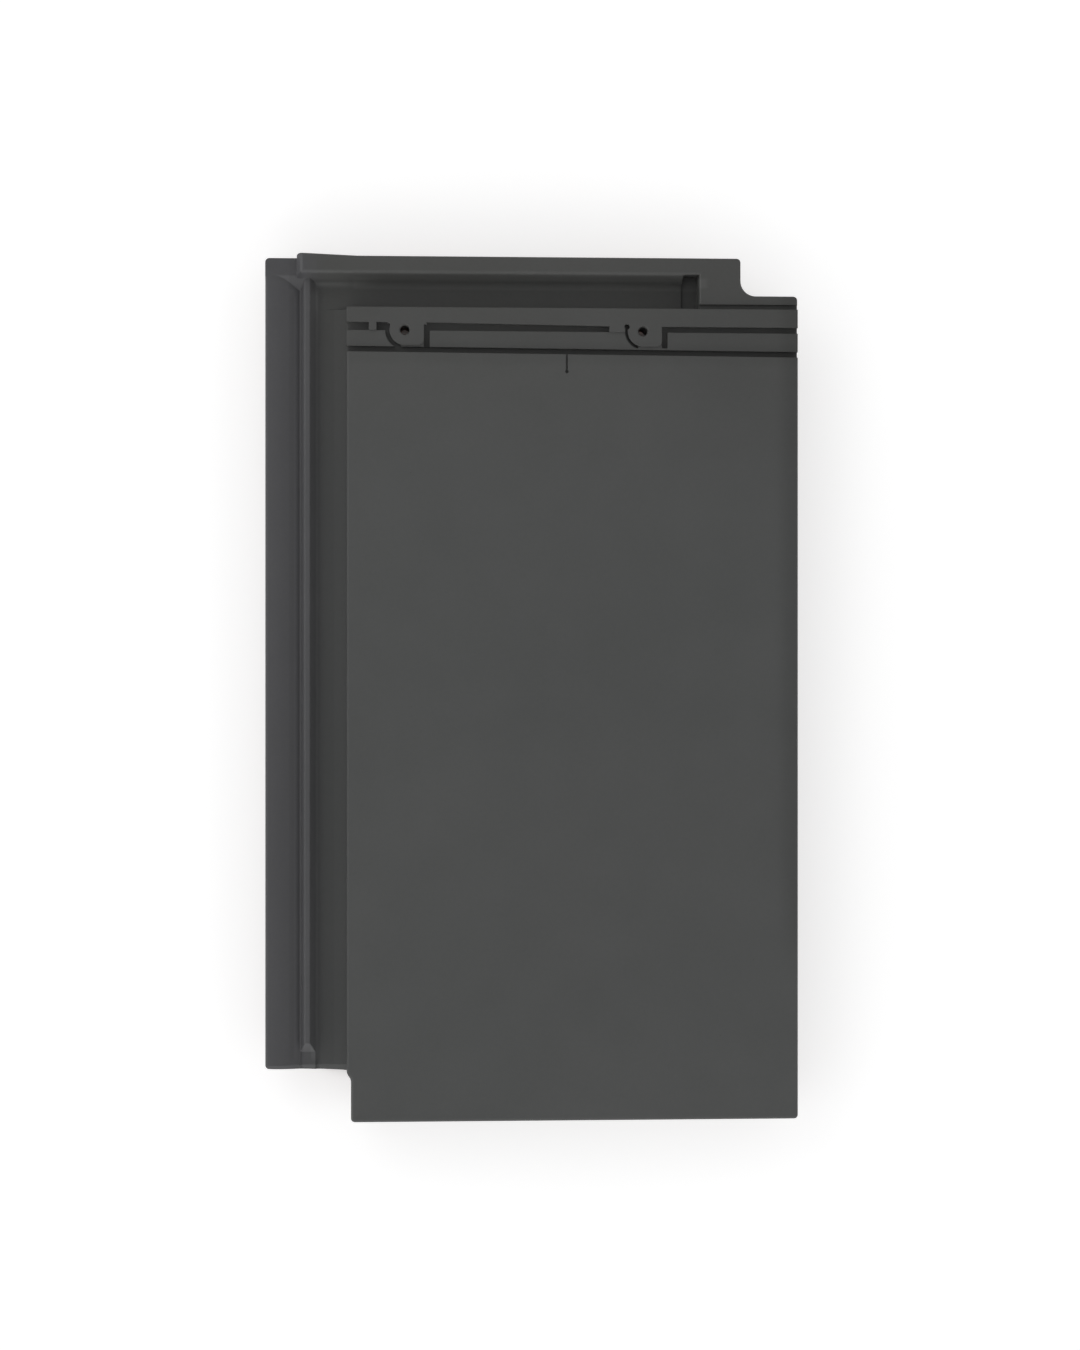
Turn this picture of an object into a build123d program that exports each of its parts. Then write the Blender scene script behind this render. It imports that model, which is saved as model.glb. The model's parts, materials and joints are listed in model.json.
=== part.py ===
from build123d import *
import os
from math import radians, tan

# A flat interlocking clay roof tile, pressed and fired as one piece. Millimetres.
# X runs across the tile from the underlap on the left to the cover edge on the right,
# Y runs up the roof from the nose to the head, and Z comes out of the weathered face.
# The origin is under the middle of the tile, on the ground that its lugs stand on.

# Overall
tile_width = 280.0
tile_length = 454.5
face_height = 34.0

# Weathered plate, with its rounded upper edge and the lip that hangs at the nose
plate_thickness = 12.0
face_edge_radius = 1.4
plate_corner_radius = 2.0
plate_jog_length = 3.0
nose_depth = 22.0
nose_lip_width = 11.0
nose_lip_lean = 3.0
nose_lip_radius = 1.0

# Underlap: the low edge on the left that goes under the next tile
underlap_width = 42.8
rim_drop = 8.5
rim_width = 6.4
rim_break_width = 6.2
rim_break_drop = 2.0
outer_slope_width = 5.8
outer_valley_drop = 13.5
rib_outer_width = 3.6
rib_inner_width = 4.8
rib_top_width = 2.8
rib_drop = 9.0
inner_valley_drop = 14.8
inner_valley_width = 9.0
inner_valley_rise = 0.6
wall_foot_drop = 13.0
underlap_end_length = 3.2
underlap_end_drop = 1.5
rib_end_length = 10.0
rib_end_ramp = 5.5
corner_flat_length = 9.0
corner_ramp = 8.0
rim_shoulder_radius = 50.0
rib_foot_radius = 3.5
inner_valley_radius = 12.0
valley_radius = 1.0
rib_edge_radius = 0.8
web_width = 4.5
web_lean = 3.5

# Notches that let four tiles meet: lower left, and upper right
lower_notch_width = 45.0
lower_notch_length = 25.4
lower_notch_radius = 4.5
underlap_end_skew = 1.6
upper_notch_width = 30.1
upper_notch_length = 21.0
upper_notch_radius = 8.0
underlap_setback = 2.05
head_bar_start = 16.5
ear_height = 1.25
ear_flat = 4.0
ear_length = 32.0
ear_radius = 1.4
head_edge_radius = 1.0
corner_radius = 2.2

# Underside level that lies on the batten, as a depth below the face
seat_drop = 21.5

# Head: a raised bar, a cross channel with a pocket, and a tab at its right end
shoulder_length = 28.25
head_bar_drop = 2.5
head_bar_foot = 14.35
head_bar_angle = 20.0
head_bar_radius = 2.5
head_bar_foot_radius = 6.0
head_floor_drop = 14.5
pocket_width = 8.0
pocket_inset = 9.9
pocket_depth = 1.0
tab_width = 22.2
tab_lean = 0.4
head_relief_drop = 14.0
head_relief_width = 7.0
seat_band_width = 6.5

# Cover edge: thin, with two hooks that hang into the next tile's underlap
joint_gap = 1.8
cover_clearance = 1.0
side_clearance = 1.5
hook_depth = 3.7
hook_width = 3.2
hook_lean = 0.8
edge_hook_width = 10.0
hook_end_gap = 2.0

# Strips and grooves across the head of the plate, which fall towards the cover edge
middle_groove_at = 38.85
middle_groove_fall = 0.002
lower_groove_at = 50.2
lower_groove_fall = 0.0078
groove_width = 3.0
groove_depth = 4.5
slot_width = 4.2
head_strip_drop = 0.6
lower_strip_drop = 1.4
slot_length = 11.5
slot_bridge = 4.0
foot_groove_width = 2.6
foot_groove_depth = 1.8

# Nail holes in their bosses, and the lugs and batten seats below them
nail_hole_radius = 2.4
nail_mouth_radius = 2.9
nail_mouth_angle = 60.0
nail_spacing = 125.0
first_nail_at = 73.1
nail_from_head = 40.2
boss_radius = 8.0
boss_right = 10.0
boss_corner_radius = 3.0
first_boss_groove = 2.2
second_boss_groove = 1.4
second_boss_pit_radius = 1.4
boss_groove_turn = 85.0
boss_groove_from = 165.0
boss_side_groove = 7.3
middle_groove_end = 17.7
lug_width = 34.0
lug_from_head = 12.0
lug_length = 18.0
lug_draft = 8.0
lug_corner_radius = 3.0
lug_radius = 2.0
seat_width = 22.0
seat_length = 46.0
seat_draft = 6.0
seat_radius = 3.0

# Centre mark for laying in half bond
mark_aside = 3.4
mark_length = 10.5
mark_width = 1.0
mark_depth = 1.2
mark_pit_radius = 0.9

# Foot ribs, which stand in the head channel of the tile below
foot_rib_from_nose = 44.5
foot_rib_width = 8.0
foot_rib_draft = 5.0
foot_rib_corner_radius = 2.5
foot_rib_radius = 1.5
foot_rib_play = 3.0

# Low stiffening ribs along the underside, in line with the seats and midway between them
stiffener_width = 8.0
stiffener_depth = 2.5
stiffener_lean = 2.0

left, right = -tile_width / 2, tile_width / 2
nose, head = -tile_length / 2, tile_length / 2
plate_left = left + underlap_width
plate_under = face_height - plate_thickness
shoulder = head - shoulder_length
seat_level = face_height - seat_drop
rim_level = face_height - rim_drop
rib_level = face_height - rib_drop
outer_valley_level = face_height - outer_valley_drop
inner_valley_level = face_height - inner_valley_drop
wall_foot_level = face_height - wall_foot_drop
head_bar_level = face_height - head_bar_drop
head_floor = face_height - head_floor_drop
head_strip_level = face_height - head_strip_drop
lower_strip_level = face_height - lower_strip_drop
nose_bottom = face_height - nose_depth
nose_lip_back = nose + nose_lip_width + nose_lip_lean
cover_under = rim_level + cover_clearance
cover_width = tile_width + joint_gap - underlap_width
neighbour_left = left + cover_width
cover_start = neighbour_left - side_clearance
hook_level = cover_under - hook_depth
rim_end = left + rim_width
rim_break_x = rim_end + rim_break_width
valley_x = rim_break_x + outer_slope_width
rib_x = valley_x + rib_outer_width
rib_foot_x = rib_x + rib_inner_width
lower_notch_x = left + lower_notch_width
underlap_end = nose + lower_notch_length
underlap_head = head - underlap_setback
head_edge = head - ear_height
bar_left = left + head_bar_start
tab_right = right - upper_notch_width
tab_left = tab_right - tab_width
nail_y = head - nail_from_head
nail_xs = [left + first_nail_at, left + first_nail_at + nail_spacing]
lug_y = head - lug_from_head
# Cuts run this far past the tile, joined forms run this far into each other, and a corner's
# radius takes up at most this share of the shorter edge beside it
over = 5.0
bond = 1.0
corner_share = 0.48


def fill_outline(rows):
    """Face inside a closed outline of (x, y, radius) rows; short edges limit the radii."""
    radii = []
    for i, (x, y, radius) in enumerate(rows):
        before = Vector(*rows[i - 1][:2]) - Vector(x, y)
        after = Vector(*rows[(i + 1) % len(rows)][:2]) - Vector(x, y)
        turn = 180 - before.get_angle(after)
        room = corner_share * min(before.length, after.length) / tan(radians(turn / 2))
        radii.append(min(radius, room))
    with BuildLine(Plane.XY) as path:
        FilletPolyline(*[row[:2] for row in rows], radius=radii, close=True)
    make_face(path.edges())


def run_up(y_from, y_to, rows, mode=Mode.ADD):
    """A section in X and Z, run along Y."""
    with BuildSketch(Plane.XZ.offset(-y_to)) as section:
        fill_outline(rows)
    extrude(section.sketch, amount=y_to - y_from, mode=mode)


def run_across(x_from, x_to, rows, mode=Mode.ADD):
    """A section in Y and Z, run along X."""
    with BuildSketch(Plane.YZ.offset(x_from)) as section:
        fill_outline(rows)
    extrude(section.sketch, amount=x_to - x_from, mode=mode)


def groove_y(x, from_head, fall):
    """Where a head groove lies at x, with its fall towards the cover edge."""
    return head - from_head - fall * (x - plate_left)


def lower_groove_y(x):
    return groove_y(x, lower_groove_at, lower_groove_fall)


def middle_groove_y(x):
    return groove_y(x, middle_groove_at, middle_groove_fall)


# Outline seen from above, up to the level of the head bar, whose free edges it rounds
with BuildPart() as outline:
    with BuildSketch():
        fill_outline([
            (lower_notch_x, nose, 0),
            (right, nose, 0),
            (right, head - upper_notch_length, corner_radius),
            (tab_right, head - upper_notch_length, upper_notch_radius),
            (tab_right, head_edge, corner_radius),
            (bar_left + ear_length, head_edge, ear_length),
            (bar_left + ear_flat, head, ear_length),
            (bar_left, head, ear_radius),
            (bar_left, underlap_head, 0),
            (left, underlap_head, corner_radius),
            (left, underlap_end + underlap_end_skew, corner_radius),
            (lower_notch_x, underlap_end, lower_notch_radius),
        ])
    extrude(amount=head_bar_level)
    fillet(outline.faces().sort_by(Axis.Z)[-1].edges(), head_edge_radius)


# Underlap: rim, outer valley, rib, and an inner valley that rises to the plate's wall
def underlap_section(drop):
    wall = plate_left + bond
    inner_valley_x = rib_foot_x + inner_valley_width
    fill_outline([
        (left, seat_level, face_edge_radius),
        (left, rim_level - drop, face_edge_radius),
        (rim_end, rim_level - drop, rim_shoulder_radius),
        (rim_break_x, rim_level - rim_break_drop - drop, rim_shoulder_radius),
        (valley_x, outer_valley_level - drop, valley_radius),
        (rib_x - rib_top_width / 2, rib_level - drop, rib_edge_radius),
        (rib_x + rib_top_width / 2, rib_level - drop, rib_edge_radius),
        (rib_foot_x, inner_valley_level - drop, rib_foot_radius),
        (inner_valley_x, inner_valley_level + inner_valley_rise - drop, inner_valley_radius),
        (wall, wall_foot_level - drop, 0),
        (wall, seat_level, 0),
    ])


with BuildPart() as underlap:
    slope_top = underlap_end + underlap_end_length
    with BuildSketch(Plane.XZ.offset(-underlap_head)) as full_section:
        underlap_section(0)
    extrude(full_section.sketch, amount=underlap_head - slope_top)
    with BuildSketch(Plane.XZ.offset(-slope_top)) as slope_top_section:
        underlap_section(0)
    with BuildSketch(Plane.XZ.offset(-underlap_end)) as slope_end_section:
        underlap_section(underlap_end_drop)
    loft([slope_end_section.sketch.face(), slope_top_section.sketch.face()], ruled=True)
    # The rib stops short of the lower end
    rib_end = underlap_end + rib_end_length
    run_across(valley_x, rib_foot_x, [
        (underlap_end - over, outer_valley_level - underlap_end_drop, 0),
        (underlap_end, outer_valley_level - underlap_end_drop, 0),
        (slope_top, outer_valley_level, 0),
        (rib_end, outer_valley_level, valley_radius),
        (rib_end + rib_end_ramp, rim_level, 0),
        (underlap_end - over, rim_level, 0),
    ], mode=Mode.SUBTRACT)
    # The outer valley runs out into a flat corner at the head
    corner_y = underlap_head - corner_flat_length
    run_across(left, rib_x, [
        (corner_y - corner_ramp, outer_valley_level, 0),
        (corner_y, rim_level, valley_radius),
        (underlap_head, rim_level, 0),
        (underlap_head, seat_level, 0),
        (corner_y - corner_ramp, seat_level, 0),
    ])

# Head: a floor slab with its batten band, a raised bar, and the tab at the right
with BuildPart() as head_part:
    add(underlap.part)
    with BuildSketch(Plane.XY.offset(seat_level)):
        with Locations(((bar_left + tab_left) / 2, head - head_bar_foot / 2)):
            Rectangle(tab_left - bar_left, head_bar_foot)
    extrude(amount=head_floor - seat_level)
    run_across(plate_left, cover_start, [
        (head, seat_level, 0),
        (head, head_floor, 0),
        (shoulder - bond, head_floor, 0),
        (shoulder - bond, plate_under + bond, 0),
        (shoulder - seat_band_width - web_lean, plate_under + bond, 0),
        (shoulder - seat_band_width - web_lean, plate_under, 0),
        (shoulder - seat_band_width, seat_level, 0),
    ])
    # The head channel drains into the inner valley
    run_across(rib_foot_x + rib_foot_radius, plate_left + over, [
        (head - head_bar_foot, head_floor, 0),
        (head - head_bar_foot, rim_level, 0),
        (shoulder, rim_level, 0),
        (shoulder, head_floor, 0),
    ], mode=Mode.SUBTRACT)

with BuildPart() as head_bar:
    bar_height = head_bar_level - head_floor
    bar_foot_left = bar_left - bar_height / 2 * tan(radians(head_bar_angle))
    bar_foot_right = right + bar_height
    bar_foot_top = head + bar_height
    with BuildSketch(Plane.XY.offset(head_floor)):
        with Locations(((bar_foot_left + bar_foot_right) / 2,
                        (head - head_bar_foot + bar_foot_top) / 2)):
            Rectangle(bar_foot_right - bar_foot_left, bar_foot_top - head + head_bar_foot)
    extrude(amount=bar_height, taper=head_bar_angle)
    top_edges = head_bar.faces().sort_by(Axis.Z)[-1].edges()
    fillet([top_edges.sort_by(Axis.X)[0], top_edges.sort_by(Axis.Y)[0]], head_bar_radius)

with BuildPart() as edge_part:
    add(head_part.part)
    add(head_bar.part)
    # The bar's front runs into the channel floor in a hollow curve
    front_rise = bar_height / 2
    run_across(rib_x, tab_left + bond, [
        (head - head_bar_foot - head_bar_foot_radius, head_floor, 0),
        (head - head_bar_foot, head_floor, head_bar_foot_radius),
        (head - head_bar_foot + front_rise * tan(radians(head_bar_angle)), head_floor + front_rise, 0),
        (head, head_floor + front_rise, 0),
        (head, seat_level, 0),
        (head - head_bar_foot - head_bar_foot_radius, seat_level, 0),
    ])
    # Pocket at the right end of the head channel
    pocket_top = head - pocket_inset
    with BuildSketch(Plane.XY.offset(head_floor - pocket_depth)):
        with Locations((tab_left + (bond - pocket_width) / 2, (pocket_top + shoulder) / 2)):
            Rectangle(pocket_width + bond, pocket_top - shoulder)
    extrude(amount=bar_height + over, mode=Mode.SUBTRACT)
    # Tab, over the cover edge's head end
    run_up(shoulder - bond, head, [
        (tab_left, seat_level, 0),
        (tab_left + tab_lean, head_bar_level, valley_radius),
        (right, head_bar_level, 0),
        (right, cover_under, 0),
        (cover_start, cover_under, 0),
        (cover_start - cover_clearance, seat_level, 0),
    ])
    # The bar is hollowed from below along the head edge
    relief_level = face_height - head_relief_drop
    run_across(plate_left + web_width, right, [
        (head + over, seat_level - over, 0),
        (head + over, relief_level, 0),
        (head - head_relief_width, relief_level, valley_radius),
        (head - head_relief_width - web_lean, seat_level, 0),
        (head - head_relief_width - web_lean, seat_level - over, 0),
    ], mode=Mode.SUBTRACT)
    add(outline.part, mode=Mode.INTERSECT)

# Plate: a slab with a rounded upper edge on its free sides
with BuildPart() as plate:
    with BuildSketch(Plane.XY.offset(plate_under)):
        fill_outline([
            (lower_notch_x, nose, plate_corner_radius),
            (right, nose, plate_corner_radius),
            (right, shoulder, 0),
            (plate_left, shoulder, 0),
            (plate_left, underlap_end, lower_notch_radius),
            (lower_notch_x, underlap_end - plate_jog_length, lower_notch_radius),
        ])
    extrude(amount=plate_thickness)
    face_edges = plate.faces().sort_by(Axis.Z)[-1].edges().sort_by(Axis.Y)
    fillet(face_edges[:-1], face_edge_radius)
    # The cover edge is thin, so that it lies over the next tile's rim
    run_up(nose_lip_back, shoulder, [
        (cover_start - cover_clearance, plate_under - over, 0),
        (cover_start - cover_clearance, plate_under, 0),
        (cover_start, cover_under, 0),
        (right + over, cover_under, 0),
        (right + over, plate_under - over, 0),
    ], mode=Mode.SUBTRACT)


def boss_shape(x, mode=Mode.ADD):
    """Raised ground of a nail hole: round towards the underlap, square on the other side."""
    with Locations((x, nail_y)):
        Circle(boss_radius, mode=mode)
    with BuildSketch(mode=Mode.PRIVATE) as square_side:
        fill_outline([
            (x, nail_y + boss_radius, 0),
            (x + boss_right, nail_y + boss_radius, 0),
            (x + boss_right, nail_y - boss_radius, boss_corner_radius),
            (x, nail_y - boss_radius, 0),
        ])
    add(square_side.sketch, mode=mode)


def groove_strip(middle, x_from, x_to, width_from, width_to):
    """Straight band along a groove, measured up from the groove's lower edge."""
    low_from = middle(x_from) - groove_width / 2
    low_to = middle(x_to) - groove_width / 2
    Polygon(
        (x_from, low_from),
        (x_to, low_to),
        (x_to, low_to + width_to),
        (x_from, low_from + width_from),
        align=None)


# Strips across the head of the plate, cut down from the face, with the bosses left standing
with BuildPart() as strips:
    wide_left, wide_right = plate_left - over, right + over
    with BuildSketch(Plane.XY.offset(head_strip_level)):
        Polygon(
            (wide_left, lower_groove_y(wide_left)),
            (wide_right, lower_groove_y(wide_right)),
            (wide_right, head),
            (wide_left, head),
            align=None)
    extrude(amount=over)
    with BuildSketch(Plane.XY.offset(lower_strip_level)):
        groove_strip(lower_groove_y, wide_left, wide_right,
                     middle_groove_y(wide_left) - lower_groove_y(wide_left),
                     middle_groove_y(wide_right) - lower_groove_y(wide_right))
        for x in nail_xs:
            boss_shape(x, Mode.SUBTRACT)
    extrude(amount=over)

# Grooves between the strips and round the bosses
with BuildPart() as grooves:
    with BuildSketch(Plane.XY.offset(face_height + over)):
        groove_strip(lower_groove_y, wide_left, wide_right, groove_width, groove_width)
        slot_end = plate_left + slot_length
        groove_strip(middle_groove_y, wide_left, slot_end, slot_width, slot_width)
        arc_x = nail_xs[0] - boss_radius - first_boss_groove / 2
        groove_strip(middle_groove_y, slot_end + slot_bridge, arc_x, slot_width, slot_width)
        side_xs = [x + boss_right + groove_width / 2 for x in nail_xs]
        middle_end = nail_xs[1] - middle_groove_end
        groove_strip(middle_groove_y, side_xs[0], middle_end, slot_width, groove_width)
        groove_strip(middle_groove_y, side_xs[1], wide_right, groove_width, groove_width)
        for x in side_xs:
            groove_top = middle_groove_y(x)
            groove_end = nail_y - boss_side_groove
            with Locations((x, (groove_top + groove_end) / 2)):
                Rectangle(groove_width, groove_top - groove_end + groove_width)
        for x, width in zip(nail_xs, (first_boss_groove, second_boss_groove)):
            arc = CenterArc((x, nail_y), boss_radius + width / 2, boss_groove_from, boss_groove_turn,
                            mode=Mode.PRIVATE)
            SlotArc(arc, width)
        with Locations(arc @ 0):
            Circle(second_boss_pit_radius)
    extrude(amount=-(over + groove_depth))
    # A narrow groove along the foot of the head strip, and the centre mark
    run_across(tab_left, wide_right, [
        (shoulder, head_bar_level + over, 0),
        (shoulder, head_bar_level - foot_groove_depth, 0),
        (shoulder + foot_groove_width, head_bar_level - foot_groove_depth, 0),
        (shoulder + foot_groove_width, head_bar_level + over, 0),
    ])
    mark_x = (plate_left + right) / 2 - mark_aside
    mark_top = lower_groove_y(mark_x)
    with BuildSketch(Plane.XY.offset(face_height - mark_depth)):
        with Locations((mark_x, mark_top - mark_length / 2)):
            Rectangle(mark_width, mark_length)
        with Locations((mark_x, mark_top - mark_length)):
            Circle(mark_pit_radius)
    extrude(amount=mark_depth + over)

# Lugs that hook over the batten, with a flat face towards it
with BuildPart() as lugs:
    stop_y = lug_y - lug_length
    with BuildSketch():
        with Locations([(x, (lug_y + stop_y - over) / 2) for x in nail_xs]):
            RectangleRounded(lug_width, lug_length + over, lug_corner_radius)
    extrude(amount=seat_level + bond, taper=-lug_draft)
    fillet(lugs.edges().group_by(Axis.Z)[0], lug_radius)
    split(bisect_by=Plane.XZ.offset(-stop_y), keep=Keep.BOTTOM)

# Seats that rest on the batten below each nail hole
with BuildPart() as seats:
    with BuildSketch(Plane.XY.offset(seat_level)):
        with Locations([(x, stop_y - seat_length / 2) for x in nail_xs]):
            Rectangle(seat_width, seat_length)
    extrude(amount=plate_under - seat_level + bond, taper=-seat_draft)
    fillet(seats.edges().group_by(Axis.Z)[1], seat_radius)

# Foot ribs, in two lengths that fit the head channels of straight and half bond
with BuildPart() as foot_ribs:
    foot_y = nose + foot_rib_from_nose
    first_end = tab_left - cover_width / 2 - foot_rib_play
    second_start = rib_foot_x + cover_width / 2 + foot_rib_play
    with BuildSketch():
        for x_from, x_to in ((plate_left + web_width, first_end),
                             (second_start, tab_left - foot_rib_play)):
            with Locations(((x_from + x_to) / 2, foot_y)):
                RectangleRounded(x_to - x_from, foot_rib_width, foot_rib_corner_radius)
    extrude(amount=plate_under + bond, taper=-foot_rib_draft)
    fillet(foot_ribs.edges().group_by(Axis.Z)[0], foot_rib_radius)

# Web below the plate's left wall, hooks under the cover edge and stiffening ribs
with BuildPart() as long_ribs:
    run_up(underlap_end, shoulder, [
        (plate_left, seat_level, 0),
        (plate_left, plate_under + bond, 0),
        (plate_left + web_width + web_lean, plate_under + bond, 0),
        (plate_left + web_width + web_lean, plate_under, 0),
        (plate_left + web_width, seat_level, valley_radius),
    ])
    hook_right = neighbour_left + valley_x - left
    for low, high, lean in ((hook_right - hook_width, hook_right, hook_lean),
                            (right - edge_hook_width, right, 0)):
        run_up(nose_lip_back - nose_lip_lean, shoulder - hook_end_gap, [
            (low, hook_level, valley_radius),
            (low - hook_lean, cover_under + bond, 0),
            (high + lean, cover_under + bond, 0),
            (high, hook_level, valley_radius),
        ])
    half_width = stiffener_width / 2
    for x in (nail_xs[0], sum(nail_xs) / 2, nail_xs[1]):
        run_up(nose_lip_back - nose_lip_lean, shoulder - seat_band_width, [
            (x - half_width, plate_under - stiffener_depth, valley_radius),
            (x + half_width, plate_under - stiffener_depth, valley_radius),
            (x + half_width + stiffener_lean, plate_under + bond, 0),
            (x - half_width - stiffener_lean, plate_under + bond, 0),
        ])

# Nose lip, which closes the front edge down to the tile below
with BuildPart() as nose_lip:
    with BuildSketch(Plane.XY.offset(nose_bottom)):
        fill_outline([
            (lower_notch_x, nose, plate_corner_radius),
            (right, nose, plate_corner_radius),
            (right, nose_lip_back, 0),
            (lower_notch_x, nose_lip_back, 0),
        ])
    extrude(amount=nose_depth - plate_thickness)
    lip_edges = nose_lip.faces().sort_by(Axis.Z)[0].edges().sort_by(Axis.Y)
    fillet(lip_edges[:-1], nose_lip_radius)
    run_across(left, right + over, [
        (nose_lip_back - nose_lip_lean, nose_bottom - over, 0),
        (nose_lip_back - nose_lip_lean, nose_bottom, valley_radius),
        (nose_lip_back, plate_under, 0),
        (nose_lip_back + over, plate_under, 0),
        (nose_lip_back + over, nose_bottom - over, 0),
    ], mode=Mode.SUBTRACT)

with BuildPart() as roof_tile:
    add(edge_part.part)
    add(plate.part)
    add(nose_lip.part)
    add(long_ribs.part)
    add(lugs.part)
    add(seats.part)
    add(foot_ribs.part)
    add(strips.part, mode=Mode.SUBTRACT)
    add(grooves.part, mode=Mode.SUBTRACT)
    with Locations([(x, nail_y, head_strip_level) for x in nail_xs]):
        CounterSinkHole(nail_hole_radius, nail_mouth_radius, face_height, nail_mouth_angle)

os.makedirs("parts", exist_ok=True)
roof_tile.part.label = "roof_tile"
export_step(roof_tile.part, "parts/roof_tile.step")
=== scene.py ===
import json
import math

import bmesh
import bpy
from mathutils import Matrix, Vector


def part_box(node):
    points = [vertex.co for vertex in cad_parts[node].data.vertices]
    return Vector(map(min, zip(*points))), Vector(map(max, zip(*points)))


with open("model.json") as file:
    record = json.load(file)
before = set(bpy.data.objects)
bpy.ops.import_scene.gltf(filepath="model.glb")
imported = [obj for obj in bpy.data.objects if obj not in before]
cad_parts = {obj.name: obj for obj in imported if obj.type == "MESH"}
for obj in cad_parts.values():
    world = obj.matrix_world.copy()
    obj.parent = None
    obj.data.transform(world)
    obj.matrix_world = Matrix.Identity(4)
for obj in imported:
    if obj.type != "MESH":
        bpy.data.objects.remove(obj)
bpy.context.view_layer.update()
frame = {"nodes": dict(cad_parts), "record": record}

mm = 0.001
scene = bpy.context.scene
tile_low, tile_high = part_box("roof_tile")
face_level = tile_high.z
mounts = {mount["name"]: mount for mount in frame["record"]["mounts"]}
nail_place = mounts["nail_holes"]["pos_m"]
nail_sizes = mounts["nail_holes"]["dims"]

# The photograph is 1080 by 1350 pixels, and one of its pixels is 0.524 mm at the tile's face
photo_width, photo_height = 1080, 1350
pixel = 0.524 * mm
tile_centre_px = (532.65, 687.4)
lens_distance = 1.4
lens_aside = math.radians(3.0)
sensor = 36 * mm

# Floor, large enough to run past every view, and dark under the tile, where the nail holes show it
floor_size = 6.0
floor_tone = 0.66
floor_white = 0.56
floor_under_tile = 0.012
floor_roughness = 0.8
under_inset_x, under_inset_y, under_border = 20 * mm, 15 * mm, 20 * mm

# Light: a soft lamp from the upper left, and a sky that is strongest low down and on the near left.
# A row of the sky is the height, 0 at the horizon and 1 overhead, and the strength there.
key_place = (-1.5, 1.5, 1.9)
key_aim = (0, 0, 0)
key_size = (1.6, 1.6)
key_power = 6.0
sky_lean = (-0.2, -0.3, 0)
sky_rows = [(0.0, 1.6), (0.2, 1.75), (0.4, 0.7), (0.6, 1.3), (0.8, 0.12), (1.0, 0.5)]

# Engobe, the matt coat that is sprayed on the weathered side before firing. Its other colours are
# factors on the first: warm at the head, cool lower down, blue on the underlap, and darker edges,
# which are painted shade against the light that the rounded edges catch.
engobe_colour = (0.0735, 0.0745, 0.0738, 1)
engobe_warm = (1.0, 0.997, 0.95, 1)
engobe_cool = (0.984, 1.006, 1.0, 1)
engobe_blue = (1.006, 0.99, 1.06, 1)
engobe_plain = (1, 1, 1, 1)
# Painted shade on the edges, darkest at the face, against the light that the rounded edges catch
engobe_edge_shade = (0.985, 0.98, 0.97, 1)
engobe_face_edge_shade = (0.90, 0.895, 0.885, 1)
engobe_roughness = 0.56
cool_from_head = 120 * mm
blue_from_left, full_blue_from_left = 34 * mm, 16 * mm
face_edge_depth, full_face_edge_depth = 1.6 * mm, 0.8 * mm

# Painted shade on the low ground right of the rib: the inner valley, the channel and the grooves are
# darker
low_ground_from_left, full_low_ground_from_left = 26 * mm, 28.5 * mm
low_ground_depth, full_low_ground_depth = 0.1 * mm, 0.5 * mm
low_ground_shade = 0.89

# Painted light on the walls of the nail holes below their mouths, which are made lighter
hole_margin, hole_border = 2 * mm, 1 * mm
hole_depth, full_hole_depth = 2 * mm, 4 * mm
hole_painted_light = 3.0

# Patches made lighter or darker. Most are painted light and shade: painted light in the shaded rib
# foot and channel foot, a painted highlight on the rib crest, and painted shade on the rim's slope
# foot, the plate's left edge and below the grooves. The right side is darker, most at its upper
# corner. Millimetres to the right of the tile's left side, as from, to and border, then millimetres
# below its head in the same way, and the factor.
painted_light_shade_patches = {
    "head_corner": ((-10, 26, 3), (-10, 11, 5), 0.94),
    "slope_foot": ((13.0, 14.2, 1.2), (24, 420, 6), 0.93),
    "outer_valley": ((15.6, 16.4, 1.0), (24, 420, 6), 1.10),
    "rib_crest": ((20.6, 22.6, 1.0), (16, 420, 6), 1.07),
    "rib_foot": ((24.6, 26.4, 1.8), (22, 420, 6), 1.32),
    "outer_valley_end": ((13.5, 18.3, 2.0), (11.5, 17, 2.0), 0.85),
    "channel_foot": ((48, 230, 4), (13, 16, 2.2), 1.26),
    "plate_left_edge": ((42.8, 43.7, 0.7), (52, 470, 3), 0.80),
    "below_grooves": ((44, 281, 2), (50.5, 54, 7), 0.92),
    "right_half": ((160, 290, 70), (80, 380, 70), 0.965),
    "upper_right": ((260, 290, 100), (-10, 27, 160), 0.90),
    "right_margin": ((280, 290, 16), (-10, 317, 90), 0.78),
}

# Where the engobe ends: by which way a face points, ragged on upright sides, and as a mist of
# drops round the edge of the underside
faces_up, faces_full_up = 0.05, 0.3
faces_down, faces_upright = -0.3, -0.05
spray_from, spray_to = 11 * mm, 20 * mm
ragged_size, ragged_height = 3 * mm, 3 * mm
mist_size, mist_reach = 1.1 * mm, 26 * mm
mist_start, mist_full, mist_cover = 0.36, 0.5, 0.75

# Bare fired clay, which shows on the underside
clay_light = (0.34, 0.122, 0.062, 1)
clay_dark = (0.21, 0.076, 0.044, 1)
clay_sand = (0.46, 0.25, 0.155, 1)
clay_iron = (0.075, 0.036, 0.026, 1)
# Colour that the small pits all over the tile are darkened to
pit_dark_colour = (0.02, 0.017, 0.015, 1)
clay_roughness = 0.86
sand_cover, iron_cover, pit_cover = 0.6, 0.8, 0.5

# Sizes of the surface's detail
grain_size = 0.6 * mm
cloud_size = 24 * mm
drift_size = 160 * mm
pit_spacing, pit_size = 9 * mm, 0.35 * mm
sand_spacing, sand_size = 5 * mm, 0.6 * mm
iron_spacing, iron_size = 13 * mm, 0.9 * mm
edge_rounding = 0.6 * mm
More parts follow.
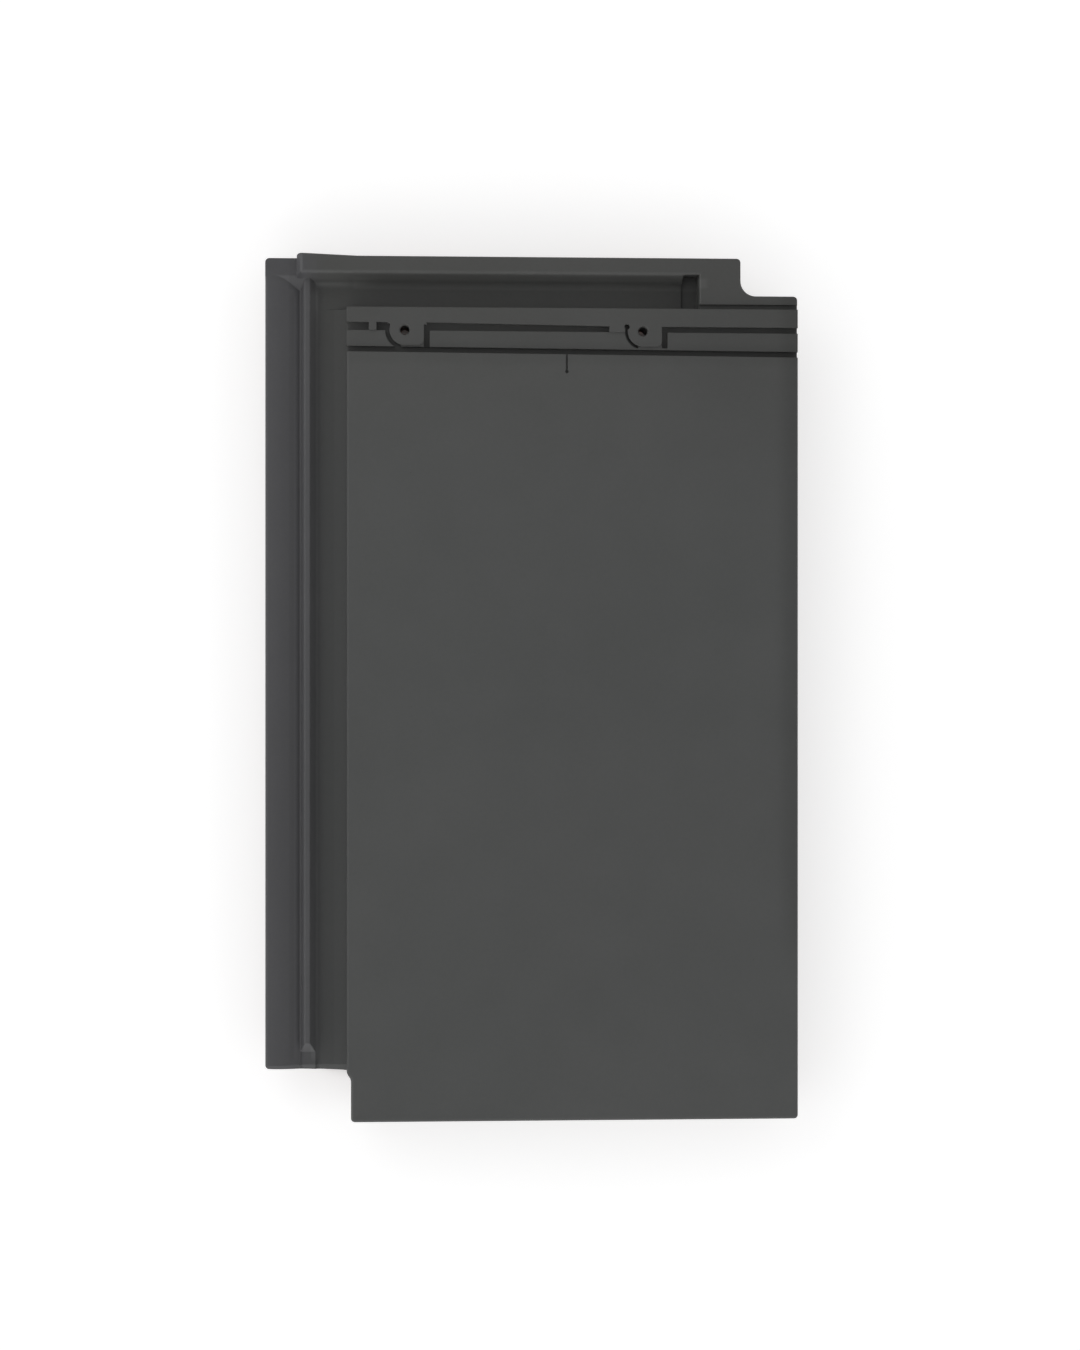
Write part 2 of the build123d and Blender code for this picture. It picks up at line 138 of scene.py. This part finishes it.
# Reach and patch size of the painted shade on the edges
edge_shade_reach, edge_shade_patch_size = 1.3 * mm, 5 * mm
grain_height = 0.05 * mm
ripple_size, ripple_height = 7 * mm, 0.03 * mm

# How far the tone goes to both sides with each detail, and how much the drift evens out a colour
coat_spreads = {"drift": 0.03, "cloud": 0.022, "fine": 0.12}
clay_spread = 0.35
roughness_spread = 0.07
evening = 0.5

# An edge starts and is full at these cosines between the true and the rounded surface
edge_start, edge_full = 0.995, 0.9
# Patches of the painted shade on the edges: contrast and least share
edge_shade_contrast = (0.35, 0.65)
least_edge_shade = 0.35
bevel_samples = 4


def add_camera():
    """Camera square above the face, looking down with the photograph's slight lean."""
    middle = Vector(((photo_width / 2 - tile_centre_px[0]) * pixel,
                     (tile_centre_px[1] - photo_height / 2) * pixel, face_level))
    data = bpy.data.cameras.new("camera")
    data.sensor_fit = "VERTICAL"
    data.sensor_height = sensor / mm
    data.lens = sensor / mm * lens_distance / (photo_height * pixel)
    camera = bpy.data.objects.new("camera", data)
    scene.collection.objects.link(camera)
    lean = Matrix.Rotation(-lens_aside, 4, "Y")
    camera.matrix_world = Matrix.Translation(middle) @ lean @ Matrix.Translation((0, 0, lens_distance))
    scene.camera = camera


def add_key_lamp():
    data = bpy.data.lights.new("key", "AREA")
    data.shape = "RECTANGLE"
    data.size, data.size_y = key_size
    data.energy = key_power
    lamp = bpy.data.objects.new("key", data)
    scene.collection.objects.link(lamp)
    lamp.location = key_place
    lamp.rotation_euler = (Vector(key_aim) - Vector(key_place)).to_track_quat("-Z", "Y").to_euler()


def set_input(tree, socket, value):
    """Gives an input a plain value, or links it to another node's output."""
    if isinstance(value, bpy.types.NodeSocket):
        tree.links.new(value, socket)
    else:
        socket.default_value = value


def add_node(tree, kind, inputs=None, **settings):
    node = tree.nodes.new(kind)
    for name, value in settings.items():
        setattr(node, name, value)
    for name, value in (inputs or {}).items():
        set_input(tree, node.inputs[name], value)
    return node


def split(tree, vector):
    """The three parts of a vector."""
    return add_node(tree, "ShaderNodeSeparateXYZ", {"Vector": vector}).outputs


def calc(tree, operation, *values):
    """One step of arithmetic on plain values or outputs."""
    node = add_node(tree, "ShaderNodeMath", operation=operation)
    for socket, value in zip(node.inputs, values):
        set_input(tree, socket, value)
    return node.outputs["Value"]


def times(tree, first, second):
    return calc(tree, "MULTIPLY", first, second)


def fade(tree, value, start, end, low=0.0, high=1.0):
    """Goes smoothly from low to high while the value goes from start to end."""
    node = add_node(tree, "ShaderNodeMapRange", {
        "Value": value, "From Min": start, "From Max": end, "To Min": low, "To Max": high,
    }, interpolation_type="SMOOTHSTEP")
    return node.outputs["Result"]


def between(tree, value, low, high, border):
    """Mask that is 1 from low to high and fades out over the border on both sides."""
    return times(tree, fade(tree, value, low - border, low), fade(tree, value, high + border, high))


def spread(tree, value, amount):
    """Turns a noise of about 0 to 1 into a factor of 1 give or take the amount."""
    return calc(tree, "MULTIPLY_ADD", value, 2 * amount, 1 - amount)


def dot(tree, first, second):
    node = add_node(tree, "ShaderNodeVectorMath", operation="DOT_PRODUCT")
    set_input(tree, node.inputs[0], first)
    set_input(tree, node.inputs[1], second)
    return node.outputs["Value"]


def mix_colours(tree, factor, first, second, how="MIX"):
    node = add_node(tree, "ShaderNodeMix", data_type="RGBA", blend_type=how)
    ready = [socket for socket in node.inputs if socket.enabled]
    for socket, value in zip(ready, (factor, first, second)):
        set_input(tree, socket, value)
    return next(socket for socket in node.outputs if socket.enabled)


def multiply_colours(tree, first, second):
    return mix_colours(tree, 1.0, first, second, "MULTIPLY")


def tint(tree, colour, factor):
    """Makes a colour lighter or darker by a factor."""
    node = add_node(tree, "ShaderNodeVectorMath", operation="SCALE")
    set_input(tree, node.inputs["Vector"], colour)
    set_input(tree, node.inputs["Scale"], factor)
    return node.outputs["Vector"]


def tint_where(tree, colour, mask, factor):
    """Makes a colour lighter or darker by a factor where the mask is 1."""
    return tint(tree, colour, fade(tree, mask, 0.0, 1.0, 1.0, factor))


def noise(tree, place, size, detail=3.0, rough=0.55):
    """Noise whose lumps are about the size given."""
    scale = calc(tree, "DIVIDE", 1.0, size)
    node = add_node(tree, "ShaderNodeTexNoise",
                    {"Vector": place, "Scale": scale, "Detail": detail, "Roughness": rough})
    return node.outputs["Fac"]


def start_group(name, sizes, outputs):
    """Empty node group that takes a place and sizes, with its two end nodes."""
    group = bpy.data.node_groups.new(name, "ShaderNodeTree")
    group.interface.new_socket("Place", in_out="INPUT", socket_type="NodeSocketVector")
    for label in sizes:
        group.interface.new_socket(label, in_out="INPUT", socket_type="NodeSocketFloat")
    for label in outputs:
        group.interface.new_socket(label, in_out="OUTPUT", socket_type="NodeSocketFloat")
    return group, group.nodes.new("NodeGroupInput"), group.nodes.new("NodeGroupOutput")


def mix_two_sizes(group, place, size, wide_noise, small_noise, step, share):
    """Noise at the size given and at a step times that size, as a share of the first and the rest
    of the second. Each noise is its detail and roughness."""
    first = noise(group, place, size, *wide_noise)
    second = noise(group, place, times(group, size, step), *small_noise)
    return calc(group, "MULTIPLY_ADD", first, share, times(group, second, 1 - share))


def make_grain():
    """Sandy surface of fired clay: Tone and Height, both about 0.5."""
    group, start, end = start_group("fired_grain", ("Size",), ("Tone", "Height"))
    both = mix_two_sizes(group, start.outputs["Place"], start.outputs["Size"],
                         (4.0, 0.65), (3.0, 0.55), step=4.0, share=0.6)
    group.links.new(both, end.inputs["Tone"])
    group.links.new(calc(group, "POWER", both, 1.5), end.inputs["Height"])
    return group


def make_clouds():
    """Uneven tone of a sprayed or fired surface in two sizes, about 0.5."""
    group, start, end = start_group("fired_clouds", ("Size",), ("Tone",))
    both = mix_two_sizes(group, start.outputs["Place"], start.outputs["Size"],
                         (2.0, 0.55), (3.0, 0.55), step=0.22, share=0.65)
    group.links.new(fade(group, both, 0.3, 0.7), end.inputs["Tone"])
    return group


def make_specks():
    """Sparse round specks, each up to the size given: Mask is 1 inside them."""
    group, start, end = start_group("specks", ("Size", "Spacing"), ("Mask",))
    spacing = start.outputs["Spacing"]
    cells = add_node(group, "ShaderNodeTexVoronoi",
                     {"Vector": start.outputs["Place"], "Scale": calc(group, "DIVIDE", 1.0, spacing)})
    away = times(group, cells.outputs["Distance"], spacing)
    chance = add_node(group, "ShaderNodeSeparateColor", {"Color": cells.outputs["Color"]})
    radius = times(group, start.outputs["Size"], chance.outputs["Red"])
    group.links.new(fade(group, away, times(group, radius, 0.5), radius, 1.0, 0.0), end.inputs["Mask"])
    return group


def use_group(tree, group, place, **sizes):
    inputs = {"Place": place}
    inputs.update({label.title(): size for label, size in sizes.items()})
    return add_node(tree, "ShaderNodeGroup", node_tree=group, inputs=inputs).outputs


def find_shaded_edges(tree, place, face):
    """Mask of the edges, in patches, where the colour is darkened as painted shade against the light that
    the rounded edges catch.
    """
    rounded = add_node(tree, "ShaderNodeBevel", {"Radius": edge_shade_reach}, samples=bevel_samples)
    edge = fade(tree, dot(tree, rounded.outputs["Normal"], face.outputs["Normal"]), edge_start, edge_full)
    patches = noise(tree, place, edge_shade_patch_size, 4.0, 0.6)
    return times(tree, edge, fade(tree, patches, *edge_shade_contrast, least_edge_shade, 1.0))


def inside_nail_holes(tree, place, upward):
    """Mask of the two nail holes' walls."""
    x, y, _ = split(tree, place)
    half_way = nail_sizes["spacing_x_mm"] / 2 * mm
    reach = nail_sizes["hole_r_mm"] * mm + hole_margin
    aside = calc(tree, "ABSOLUTE", calc(tree, "SUBTRACT", x, nail_place[0]))
    aside = calc(tree, "SUBTRACT", aside, half_way)
    along = calc(tree, "SUBTRACT", y, nail_place[1])
    squares = calc(tree, "MULTIPLY_ADD", aside, aside, times(tree, along, along))
    near = fade(tree, calc(tree, "SQRT", squares), reach, reach - hole_border)
    return times(tree, near, fade(tree, upward, faces_down, faces_upright))


def find_sprayed(tree, place, upward, in_holes):
    """Mask of the engobe: what faces up, the upper part of upright sides, the nail holes, and a
    mist of drops round the edge of the underside."""
    x, y, z = split(tree, place)
    ragged = calc(tree, "MULTIPLY_ADD", noise(tree, place, ragged_size, 5.0, 0.7),
                  2 * ragged_height, -ragged_height)
    height = calc(tree, "ADD", z, ragged)
    upright = fade(tree, upward, faces_down, faces_upright)
    on_sides = times(tree, upright, fade(tree, height, spray_from, spray_to))
    cover = calc(tree, "MAXIMUM", fade(tree, upward, faces_up, faces_full_up), on_sides)
    cover = calc(tree, "MAXIMUM", cover, in_holes)
    to_side = fade(tree, calc(tree, "ABSOLUTE", x), tile_high.x - mist_reach, tile_high.x)
    to_end = fade(tree, calc(tree, "ABSOLUTE", y), tile_high.y - mist_reach, tile_high.y)
    drops = times(tree, noise(tree, place, mist_size, 2.0), calc(tree, "MAXIMUM", to_side, to_end))
    return calc(tree, "MAXIMUM", cover, fade(tree, drops, mist_start, mist_full, 0.0, mist_cover))


def colour_engobe(tree, place, tones, edge, in_holes):
    """The engobe's colour: its hue drifts and its tone has random patches. Painted light and shade
    lighten or darken the low ground, listed patches, nail holes and edges.
    """
    x, y, z = split(tree, place)
    from_left = calc(tree, "SUBTRACT", x, tile_low.x)
    from_head = calc(tree, "SUBTRACT", tile_high.y, y)
    depth = calc(tree, "SUBTRACT", face_level, z)

    hue = mix_colours(tree, fade(tree, from_head, 0.0, cool_from_head), engobe_warm, engobe_cool)
    hue = mix_colours(tree, times(tree, tones["drift"], evening), hue, engobe_plain)
    bluish = fade(tree, from_left, blue_from_left, full_blue_from_left)
    coat = multiply_colours(tree, engobe_colour, mix_colours(tree, bluish, hue, engobe_blue))

    # Painted shade: the low ground is made darker
    low_ground = times(tree, fade(tree, from_left, low_ground_from_left, full_low_ground_from_left),
                       fade(tree, depth, low_ground_depth, full_low_ground_depth))
    coat = tint_where(tree, coat, low_ground, low_ground_shade)
    # Painted light and shade from the listed patches
    for across, along, factor in painted_light_shade_patches.values():
        patch = times(tree, between(tree, from_left, *(size * mm for size in across)),
                      between(tree, from_head, *(size * mm for size in along)))
        coat = tint_where(tree, coat, patch, factor)
    for tone, amount in coat_spreads.items():
        coat = tint(tree, coat, spread(tree, tones[tone], amount))

    # Painted light: the deep walls of the nail holes are made lighter
    painted_light_in_holes = times(tree, in_holes, fade(tree, depth, hole_depth, full_hole_depth))
    coat = tint_where(tree, coat, painted_light_in_holes, hole_painted_light)
    # Painted shade: the edges are made darker, most at the face
    at_face = fade(tree, depth, face_edge_depth, full_face_edge_depth)
    edge_hue = mix_colours(tree, at_face, engobe_edge_shade, engobe_face_edge_shade)
    return mix_colours(tree, edge, coat, multiply_colours(tree, coat, edge_hue))


def colour_clay(tree, tones):
    """The bare clay's colour: uneven firing, with sand and iron specks."""
    clay = mix_colours(tree, tones["cloud"], clay_dark, clay_light)
    clay = mix_colours(tree, times(tree, tones["drift"], evening), clay, clay_light)
    clay = mix_colours(tree, times(tree, tones["sand"], sand_cover), clay, clay_sand)
    clay = mix_colours(tree, times(tree, tones["iron"], iron_cover), clay, clay_iron)
    return tint(tree, clay, spread(tree, tones["fine"], clay_spread))


def make_relief(tree, place, fine_height, pit):
    """Surface normal: sand and pits on a faint ripple, over edges that are slightly rounded."""
    rounded = add_node(tree, "ShaderNodeBevel", {"Radius": edge_rounding}, samples=bevel_samples)
    height = times(tree, fine_height, grain_height)
    height = calc(tree, "MULTIPLY_ADD", noise(tree, place, ripple_size, 2.0), ripple_height, height)
    height = calc(tree, "MULTIPLY_ADD", pit, -pit_size, height)
    bump = add_node(tree, "ShaderNodeBump", {
        "Height": height, "Distance": 1.0, "Strength": 1.0, "Normal": rounded.outputs["Normal"],
    })
    return bump.outputs["Normal"]


def make_fired_clay():
    """Red-brown clay under a matt dark grey engobe, one material over the whole tile."""
    grain, clouds, specks = make_grain(), make_clouds(), make_specks()
    material = bpy.data.materials.new("fired_clay")
    material.use_nodes = True
    tree = material.node_tree
    shader = tree.nodes["Principled BSDF"]
    place = tree.nodes.new("ShaderNodeTexCoord").outputs["Object"]
    face = tree.nodes.new("ShaderNodeNewGeometry")
    upward = split(tree, face.outputs["True Normal"])["Z"]

    fine = use_group(tree, grain, place, size=grain_size)
    tones = {
        "fine": fine["Tone"],
        "drift": use_group(tree, clouds, place, size=drift_size)["Tone"],
        "cloud": use_group(tree, clouds, place, size=cloud_size)["Tone"],
        "sand": use_group(tree, specks, place, size=sand_size, spacing=sand_spacing)["Mask"],
        "iron": use_group(tree, specks, place, size=iron_size, spacing=iron_spacing)["Mask"],
    }
    pit = use_group(tree, specks, place, size=pit_size, spacing=pit_spacing)["Mask"]

    edge = find_shaded_edges(tree, place, face)
    in_holes = inside_nail_holes(tree, place, upward)
    cover = find_sprayed(tree, place, upward, in_holes)
    coat = colour_engobe(tree, place, tones, edge, in_holes)
    colour = mix_colours(tree, cover, colour_clay(tree, tones), coat)
    colour = mix_colours(tree, times(tree, pit, pit_cover), colour, pit_dark_colour)
    tree.links.new(colour, shader.inputs["Base Color"])

    matt = times(tree, spread(tree, tones["cloud"], roughness_spread), engobe_roughness)
    tree.links.new(fade(tree, cover, 0.0, 1.0, clay_roughness, matt), shader.inputs["Roughness"])
    tree.links.new(make_relief(tree, place, fine["Height"], pit), shader.inputs["Normal"])
    return material


def make_floor_white():
    """Pale floor that shows white to the camera, keeps the tile's shadow and is dark under it."""
    material = bpy.data.materials.new("white_floor")
    material.use_nodes = True
    tree = material.node_tree
    shader = tree.nodes["Principled BSDF"]
    shader.inputs["Base Color"].default_value = (floor_tone, floor_tone, floor_tone, 1)
    shader.inputs["Roughness"].default_value = floor_roughness
    shader.inputs["Specular IOR Level"].default_value = 0.0
    shader.inputs["Emission Color"].default_value = (1, 1, 1, 1)
    x, y, _ = split(tree, tree.nodes.new("ShaderNodeTexCoord").outputs["Object"])
    edge_x, edge_y = tile_high.x - under_inset_x, tile_high.y - under_inset_y
    across = fade(tree, calc(tree, "ABSOLUTE", x), edge_x - under_border, edge_x, 1.0, 0.0)
    along = fade(tree, calc(tree, "ABSOLUTE", y), edge_y - under_border, edge_y, 1.0, 0.0)
    glow = fade(tree, times(tree, across, along), 0.0, 1.0, floor_white, floor_under_tile)
    seen = tree.nodes.new("ShaderNodeLightPath").outputs["Is Camera Ray"]
    tree.links.new(times(tree, seen, glow), shader.inputs["Emission Strength"])
    return material


def add_floor():
    bm = bmesh.new()
    bmesh.ops.create_grid(bm, x_segments=1, y_segments=1, size=floor_size)
    mesh = bpy.data.meshes.new("floor")
    bm.to_mesh(mesh)
    bm.free()
    floor = bpy.data.objects.new("floor", mesh)
    scene.collection.objects.link(floor)
    mesh.materials.append(make_floor_white())


def add_sky():
    """Soft light from all round by height, plain white where the camera sees it."""
    world = bpy.data.worlds.new("studio")
    scene.world = world
    world.use_nodes = True
    tree = world.node_tree
    background = tree.nodes["Background"]
    background.inputs["Color"].default_value = (1, 1, 1, 1)
    way = tree.nodes.new("ShaderNodeTexCoord").outputs["Generated"]
    ramp = add_node(tree, "ShaderNodeValToRGB", {"Fac": split(tree, way)["Z"]})
    steps = ramp.color_ramp.elements
    while len(steps) < len(sky_rows):
        steps.new(0.5)
    for step, (level, strength) in zip(steps, sky_rows):
        step.position = level
        step.color = (strength, strength, strength, 1)
    lean = calc(tree, "ADD", dot(tree, way, sky_lean), 1.0)
    light = times(tree, ramp.outputs["Color"], lean)
    seen = tree.nodes.new("ShaderNodeLightPath").outputs["Is Camera Ray"]
    unseen = calc(tree, "SUBTRACT", 1.0, seen)
    tree.links.new(calc(tree, "ADD", times(tree, light, unseen), seen), background.inputs["Strength"])


add_camera()
add_floor()
add_key_lamp()
add_sky()
scene.view_settings.view_transform = "Standard"
frame["nodes"]["roof_tile"].data.materials[0] = make_fired_clay()
